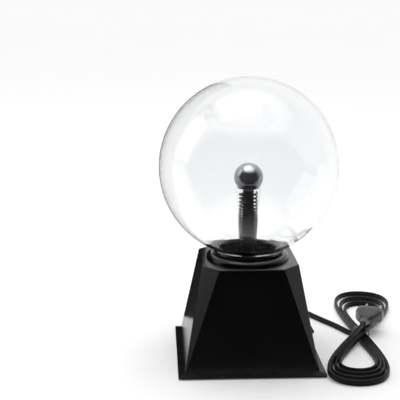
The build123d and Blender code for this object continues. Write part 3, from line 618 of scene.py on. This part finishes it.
def plug_form(columns=64):
    """Moulded plug: superellipse sections eased from the round tail to the broad face, with grip dips."""
    along = np.concatenate([np.linspace(0, 33, 90) * MM, [33.0 * MM, 33.0 * MM]])
    stations = np.array([0.0, 8.0, 10.5, 12.0, 18.0, 25.0, 31.5, 33.0]) * MM
    half_wide = np.interp(along, stations, np.array([3.0, 3.5, 4.6, 6.1, 9.3, 12.3, 12.5, 11.9]) * MM)
    half_tall = np.interp(along, stations, np.array([3.0, 3.4, 3.9, 4.5, 5.7, 6.9, 7.0, 6.4]) * MM)
    squareness = np.interp(along, stations, [2.0, 2.0, 2.4, 2.9, 3.4, 3.8, 4.0, 3.6])
    ribs = 0.5 - 0.5 * np.cos((along - 15 * MM) / MM * np.pi)
    grip = np.where((along > 15 * MM) & (along < 27 * MM), ribs, 0.0)
    smoother = np.ones(5) / 5
    for values in (half_wide, half_tall, squareness):
        values[3:-6] = np.convolve(values, smoother, "same")[3:-6]
    shrink = np.ones(len(along))
    shrink[-2:] = 0.93, 0.0
    angle = np.linspace(0, 2 * np.pi, columns, endpoint=False)
    cos, sin = np.cos(angle), np.sin(angle)
    power = 2 / squareness[:, None]
    side = np.sign(cos) * np.abs(cos) ** power * half_wide[:, None]
    tall = np.sign(sin) * np.abs(sin) ** power * half_tall[:, None]
    tall -= np.sign(sin) * (np.abs(sin) ** 4) * grip[:, None] * 0.35 * MM
    side *= shrink[:, None]
    tall *= shrink[:, None]
    across = np.array([PLUG_AXIS[1], -PLUG_AXIS[0], 0.0])
    points = (
        PLUG_ENTRY
        + along[:, None, None] * PLUG_AXIS
        + side[..., None] * across
        + tall[..., None] * np.array([0.0, 0.0, 1.0])
    )
    faces = grid_faces(len(along), columns) + [list(range(columns))]
    return points, faces


def tie_form():
    """Strap round the bundle: a flat section carried round a superellipse of exponent 5."""
    angle = np.linspace(0, 2 * np.pi, 96, endpoint=False)
    half_wide, half_tall, middle = 6.6 * MM, 5.75 * MM, 6.31 * MM
    cos, sin = np.cos(angle), np.sin(angle)
    across = np.sign(cos) * np.abs(cos) ** 0.4 * half_wide
    height = middle + np.sign(sin) * np.abs(sin) ** 0.4 * half_tall
    outer_face = [(-2.5, 0.12), (-2.3, 0.4), (0, 0.46), (2.3, 0.4), (2.5, 0.12)]
    section = np.array([*outer_face, (2.5, -0.12), (0, -0.2), (-2.5, -0.12)]) * MM
    outward = np.stack([cos, sin], -1)
    flat = HANK_WAIST + across[:, None] * HANK_WIDE
    ring = np.column_stack([flat, height])
    normal = np.column_stack([outward[:, :1] * HANK_WIDE, outward[:, 1:]])
    along = np.array([*HANK_LONG, 0.0])
    run, rise = section[:, 0][None, :, None], section[:, 1][None, :, None]
    points = ring[:, None] + run * along + rise * normal[:, None]
    return points, grid_faces(len(angle), len(section), wrap_rows=True)


class PLASMA_OT_cord(bpy.types.Operator):
    """Flat twin mains cord wound in a loose figure-eight hank, with its tie and plug"""

    bl_idname = "plasma.cord"
    bl_label = "Cord, tie and plug"

    def execute(self, context):
        look = context.scene.plasma_cord
        inside_plug = [PLUG_ENTRY + depth * PLUG_AXIS for depth in (-0.004, 0.003, 0.006)]
        line = smooth_line(np.concatenate([LEAD_ROUTE, hank_turns(), inside_plug]), "cord_line")

        jacket_colour = tuple(look.jacket_colour)
        jacket = moulded("cord_jacket", jacket_colour, 0.42, 1800.0, 0.00002, specular_ior_level=0.15)
        points, faces = sweep(line, twin_section(look.width, look.thickness))
        cord = new_piece("mains_cord", points, faces, jacket)
        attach(cord, "base")
        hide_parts("cord", "cord_hank")

        plug_skin = moulded("plug_skin", tuple(look.plug_colour), 0.30, grain=1500.0, depth=0.000025)
        plug = new_piece("mains_plug", *plug_form(), plug_skin)
        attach(plug, "base")
        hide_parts("plug_body")

        tie_colour = tuple(look.tie_colour)
        # Painted shade: the strap's grooves take the tie colour at six tenths.
        wrap = banded("tie_wrap", tie_colour, shade(tie_colour, 0.6), 0.34, 260.0, "Z", 0.00003)
        tie = new_piece("hank_tie", *tie_form(), wrap)
        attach(tie, "base")
        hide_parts("cord_tie")

        dress(metal("plug_brass", (0.34, 0.33, 0.32), 0.24, (1.0, 1.0, 6.0)), "plug_blades")
        relief_rubber = moulded("relief_rubber", shade(jacket_colour, 1.2), 0.5, 1600.0, 0.00003)
        dress(relief_rubber, "cord_strain_relief")
        return {"FINISHED"}


# ------------------------------------------------------------------ globe and electrode
class PLASMA_OT_globe(bpy.types.Operator):
    """Blown glass globe with its neck, and the glass electrode stem with its silvered bulb"""

    bl_idname = "plasma.globe"
    bl_label = "Globe and electrode"

    def execute(self, context):
        look = context.scene.plasma_globe
        glass = clear_glass("globe_glass", tuple(look.tint))
        outline = np.concatenate([self.wall_outline(look, 0.0), self.wall_outline(look, look.wall)[::-1]])
        globe = new_piece("globe", *lathe(outline, 256), glass)
        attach(globe, "base")
        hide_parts("glass_globe")

        dress(clear_glass("stem_glass", tuple(look.tint)), "electrode_stem")
        silver = tuple(look.silver)
        material, nodes, links, shader, place = new_finish("bulb_silvering", silver, 0.08, metallic=1.0)
        clouds = mottle(nodes, links, place, 210.0, 5.0, 0.6)
        split = nodes.new("ShaderNodeSeparateXYZ")
        links.new(place, split.inputs["Vector"])
        # Painted shade: the silvering's colour falls to a quarter of itself from the top of the bulb down to
        # its bottom, in place of a darker reflection low on the bulb.
        painted_shade_height = spread(nodes, links, split.outputs["Z"], 0.147, 0.166, 0.0, 1.0)
        tone(nodes, links, shader, painted_shade_height, shade(silver, 0.25), silver, 0.2, 0.9)
        gloss(nodes, links, shader, clouds, 0.04, 0.14)
        relief(nodes, links, shader, mottle(nodes, links, place, 300.0, 2.0), 0.00001, 0.4)
        dress(material, "electrode_coating")
        return {"FINISHED"}

    @staticmethod
    def wall_outline(look, inset):
        """Half outline from the top pole to the neck's rim: ball, concave bend, neck, moved in by `inset`."""
        ball, neck, bend = look.radius - inset, look.neck_radius - inset, 4.0 * MM
        bend_radius = neck + bend
        bend_height = look.centre_height - math.sqrt((ball + bend) ** 2 - bend_radius**2)
        slope = math.degrees(math.atan2(look.centre_height - bend_height, bend_radius))
        top = arc((0.0, look.centre_height), ball, 90.0, -slope, 150)
        top[0, 0] = 0.0
        turn = arc((bend_radius, bend_height), bend, 180.0 - slope, 180.0, 9)
        shank = np.column_stack([np.full(12, neck), np.linspace(bend_height, look.neck_bottom, 13)[1:]])
        return np.concatenate([top, turn[1:], shank])


class PLASMA_OT_core(bpy.types.Operator):
    """Contact spring, core tube, bung and wire wool inside the electrode"""

    bl_idname = "plasma.core"
    bl_label = "Electrode core"

    def execute(self, context):
        look = context.scene.plasma_core
        low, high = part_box("contact_spring")
        height = np.linspace(low.z + look.wire_radius, high.z - look.wire_radius, 900)
        opening = np.clip((height - 0.118) / 0.020, 0, 1)
        pitch = look.close_pitch + (look.open_pitch - look.close_pitch) * opening**2 * (3 - 2 * opening)
        angle = np.concatenate([[0], np.cumsum(2 * np.pi * np.diff(height) / pitch[1:])])
        radius = look.coil_radius - look.wire_radius
        radius += look.coil_flare * np.clip((height - height[0]) / 0.022, 0, 1)
        line = np.column_stack([radius * np.cos(angle), radius * np.sin(angle), height])
        blackened = moulded("blackened_spring", (0.006, 0.006, 0.007), 0.45, specular_ior_level=0.2)
        spring = new_piece("spring", *sweep(line, ring_section(look.wire_radius, 8)), blackened)
        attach(spring, "base")
        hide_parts("contact_spring")

        wool = new_piece("wool", *self.fibres(look.wool_fibres), metal("wool_steel", (0.5, 0.5, 0.52), 0.35))
        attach(wool, "base")
        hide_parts("steel_wool")
        dress(moulded("core_black", (0.004, 0.004, 0.0045), 0.5), "core_tube")
        dress(moulded("bung_rubber", (0.02, 0.02, 0.021), 0.6, 1200.0, 0.00004), "stem_bung")
        return {"FINISHED"}

    @staticmethod
    def fibres(count, steps=36):
        """Fibres in a ball: each coordinate a sum of three slow sines of random phase, squeezed in."""
        chance = np.random.default_rng(7)
        t = np.linspace(0, 2 * np.pi, steps)
        phase = chance.uniform(0, 2 * np.pi, (count, 3, 3, 1))
        weight = chance.uniform(0.4, 1.0, (count, 3, 3, 1))
        speed = np.array([0.6, 1.1, 1.9])[None, None, :, None]
        lines = (weight * np.sin(speed * t + phase)).sum(2).transpose(0, 2, 1)
        size = np.linalg.norm(lines, axis=2, keepdims=True)
        lines = lines / size * 9.3 * MM * np.tanh(size * 0.9)
        centre_height, floor_height = 155.2 * MM, 144.6 * MM
        lines[..., 2] = np.maximum(lines[..., 2] + centre_height, floor_height)
        lines[..., 2] += chance.uniform(0, 0.5 * MM, (count, 1))
        section = ring_section(0.07 * MM, 3)
        points, faces = [], []
        for number, line in enumerate(lines):
            made, quads = sweep(line, section, upright=(0.31, 0.22, 0.92))
            start = number * steps * len(section)
            points.append(made.reshape(-1, 3))
            faces += [[corner + start for corner in face] for face in quads]
        return np.concatenate(points), faces


# ------------------------------------------------------------------ base and collar
class PLASMA_OT_base(bpy.types.Operator):
    """Gloss shell, satin plinth, collar, gasket, cradle, feet and screws"""

    bl_idname = "plasma.base"
    bl_label = "Base and collar"

    def execute(self, context):
        look = context.scene.plasma_base
        dress(gloss_shell("shell_gloss", tuple(look.shell_colour), look.shell_gloss), "base_shell")
        plinth = moulded("plinth_satin", tuple(look.plinth_colour), 0.30, specular_ior_level=0.1)
        dress(plinth, "bottom_plate")
        dress(moulded("collar_satin", tuple(look.collar_colour), 0.20, depth=0.000006), "collar_ring")
        dress(moulded("gasket_rubber", (0.014, 0.014, 0.014), 0.62, 1500.0, 0.00004), "neck_gasket")
        dress(moulded("foot_rubber", (0.03, 0.03, 0.03), 0.75, 1300.0, 0.00005), "rubber_feet")
        dress(moulded("cradle_plastic", (0.03, 0.03, 0.032), 0.42), "globe_cradle")
        plated = metal("plated_steel", (0.62, 0.62, 0.64), 0.28, (1.0, 1.0, 5.0))
        dress(plated, "base_screws", "cradle_screws", "board_screws", "clamp_screws", "transistor_screw")
        return {"FINISHED"}


# ------------------------------------------------------------------ rocker switch
class PLASMA_OT_switch(bpy.types.Operator):
    """Rocker switch, its housing and its terminals"""

    bl_idname = "plasma.switch"
    bl_label = "Rocker switch"

    def execute(self, context):
        dress(moulded("switch_nylon", (0.018, 0.018, 0.019), 0.36), "switch_housing")
        dress(moulded("rocker_nylon", (0.013, 0.013, 0.014), 0.22, 2200.0, 0.000008), "switch_rocker")
        brass = metal("terminal_brass", (0.72, 0.55, 0.26), 0.3, (6.0, 1.0, 1.0))
        dress(brass, "switch_terminals", "fuse_clips")
        return {"FINISHED"}


# ------------------------------------------------------------------ inside the base
def board_laminate():
    """Green board: woven tint, paler copper tracks under the lacquer and small round pads."""
    material, nodes, links, shader, place = new_finish("board_laminate", (0.03, 0.16, 0.06), 0.32)
    bricks = nodes.new("ShaderNodeTexBrick")
    bricks.inputs["Scale"].default_value = 95.0
    bricks.inputs["Mortar Size"].default_value = 0.035
    bricks.inputs["Color1"].default_value = (0.022, 0.12, 0.045, 1)
    bricks.inputs["Color2"].default_value = (0.030, 0.15, 0.055, 1)
    bricks.inputs["Mortar"].default_value = (0.085, 0.30, 0.12, 1)
    links.new(place, bricks.inputs["Vector"])
    links.new(bricks.outputs["Color"], shader.inputs["Base Color"])
    weave = mottle(nodes, links, place, 900.0, 3.0)
    gloss(nodes, links, shader, weave, 0.22, 0.42)
    tracks = relief(nodes, links, shader, bricks.outputs["Fac"], 0.00004, 0.8)
    relief(nodes, links, shader, weave, 0.00001, 0.5, tracks)
    return material


def ringed_resistors():
    """Tan resistor bodies with four narrow colour rings, repeated every 11.5 mm along X."""
    material, nodes, links, shader, place = new_finish("resistor_body", (0.55, 0.40, 0.24), 0.38)
    split = nodes.new("ShaderNodeSeparateXYZ")
    links.new(place, split.inputs["Vector"])
    repeat = nodes.new("ShaderNodeMath")
    repeat.operation = "FLOORED_MODULO"
    shift = nodes.new("ShaderNodeMath")
    shift.operation = "ADD"
    shift.inputs[1].default_value = 0.00325
    links.new(split.outputs["X"], shift.inputs[0])
    links.new(shift.outputs["Value"], repeat.inputs[0])
    repeat.inputs[1].default_value = 0.0115
    share = spread(nodes, links, repeat.outputs["Value"], 0.0, 0.0065, 0.0, 1.0)
    ramp = nodes.new("ShaderNodeValToRGB")
    ramp.color_ramp.interpolation = "CONSTANT"
    body = (0.55, 0.40, 0.24, 1)
    rings = [(0.0, body), (0.18, (0.35, 0.10, 0.02, 1)), (0.26, body)]
    rings += [(0.36, (0.02, 0.02, 0.02, 1)), (0.44, body)]
    rings += [(0.54, (0.60, 0.04, 0.02, 1)), (0.62, body), (0.78, (0.60, 0.42, 0.10, 1)), (0.86, body)]
    for position, colour in rings[2:]:
        ramp.color_ramp.elements.new(position)
    for stop, (position, colour) in zip(ramp.color_ramp.elements, rings):
        stop.position, stop.color = position, colour
    links.new(share, ramp.inputs["Fac"])
    links.new(ramp.outputs["Color"], shader.inputs["Base Color"])
    skin = mottle(nodes, links, place, 1400.0, 2.0)
    gloss(nodes, links, shader, skin, 0.28, 0.48)
    relief(nodes, links, shader, skin, 0.00002, 0.5)
    return material


class PLASMA_OT_electronics(bpy.types.Operator):
    """Circuit board, transformer, driver parts and wiring"""

    bl_idname = "plasma.electronics"
    bl_label = "Electronics and wiring"

    def execute(self, context):
        dress(board_laminate(), "circuit_board")
        dress(speckled("ferrite", (0.035, 0.034, 0.036), (0.10, 0.10, 0.105), 0.6, 1500.0), "ferrite_core")
        # Painted shade: each banded finish here lays its second, darker tone in the grooves between its turns
        # or ribs.
        dress(banded("winding_tape", (0.62, 0.44, 0.10), (0.42, 0.28, 0.05), 0.36, 60.0), "hv_winding")
        bright, copper_groove_shade = (0.55, 0.20, 0.07), (0.26, 0.07, 0.02)
        copper = banded("enamelled_copper", bright, copper_groove_shade, 0.25, 260.0, "Z", 0.0001, 0.85)
        dress(copper, "primary_winding")
        dress(metal("extruded_aluminium", (0.70, 0.71, 0.72), 0.34, (6.0, 6.0, 0.5)), "heat_sink")
        epoxy = speckled("moulded_epoxy", (0.022, 0.022, 0.024), (0.05, 0.05, 0.05), 0.45, 1800.0)
        dress(epoxy, "power_transistor")
        dress(banded("can_sleeve", (0.030, 0.040, 0.11), (0.022, 0.030, 0.085), 0.28, 22.0, "X"),
              "electrolytic_capacitors")
        resin = speckled("dipped_resin", (0.36, 0.07, 0.03), (0.44, 0.11, 0.05), 0.25, 600.0)
        dress(resin, "film_capacitors")
        dress(ringed_resistors(), "resistors")
        diode = speckled("diode_body", (0.020, 0.020, 0.022), (0.06, 0.06, 0.06), 0.35, 1500.0)
        dress(diode, "bridge_diodes")
        dress(clear_glass("fuse_glass", (0.92, 0.94, 0.94)), "fuse")
        dress(moulded("terminal_green", (0.05, 0.26, 0.10), 0.38), "terminal_block")
        dress(moulded("wire_brown", (0.13, 0.05, 0.02), 0.40, 1500.0, 0.00002), "switch_wires")
        dress(moulded("wire_white", (0.60, 0.60, 0.58), 0.40, 1500.0, 0.00002), "mains_wires")
        dress(moulded("hv_red", (0.42, 0.03, 0.02), 0.34, 1500.0, 0.00002), "hv_wire")
        dress(moulded("clamp_plastic", (0.03, 0.03, 0.032), 0.45), "cord_clamp")
        return {"FINISHED"}


# ------------------------------------------------------------------ panel and run
class PLASMA_PT_panel(bpy.types.Panel):
    """Lists the lamp's pieces and their sizes and colours"""

    bl_idname = "PLASMA_PT_panel"
    bl_label = "Plasma ball lamp"
    bl_space_type = "VIEW_3D"
    bl_region_type = "UI"
    bl_category = "Plasma ball"

    def draw(self, context):
        for name in ("plasma_globe", "plasma_core", "plasma_base", "plasma_cord"):
            settings = getattr(context.scene, name)
            box = self.layout.box()
            for field in settings.bl_rna.properties:
                if field.identifier not in {"rna_type", "name"}:
                    box.prop(settings, field.identifier)
        for piece in OPERATORS:
            self.layout.operator(piece.bl_idname)


OPERATORS = (
    PLASMA_OT_stage,
    PLASMA_OT_cord,
    PLASMA_OT_globe,
    PLASMA_OT_core,
    PLASMA_OT_base,
    PLASMA_OT_switch,
    PLASMA_OT_electronics,
)
SETTINGS = {
    "plasma_globe": GlobeSettings,
    "plasma_core": CoreSettings,
    "plasma_base": BaseSettings,
    "plasma_cord": CordSettings,
}


def register():
    for group in SETTINGS.values():
        bpy.utils.register_class(group)
    for name, group in SETTINGS.items():
        setattr(bpy.types.Scene, name, PointerProperty(type=group))
    for piece in (*OPERATORS, PLASMA_PT_panel):
        bpy.utils.register_class(piece)


def unregister():
    for piece in reversed((*OPERATORS, PLASMA_PT_panel)):
        bpy.utils.unregister_class(piece)
    for name, group in SETTINGS.items():
        delattr(bpy.types.Scene, name)
        bpy.utils.unregister_class(group)


def main():
    register()
    for call in (
        bpy.ops.plasma.stage,
        bpy.ops.plasma.cord,
        bpy.ops.plasma.globe,
        bpy.ops.plasma.core,
        bpy.ops.plasma.base,
        bpy.ops.plasma.switch,
        bpy.ops.plasma.electronics,
    ):
        call()


if __name__ == "__main__":
    main()
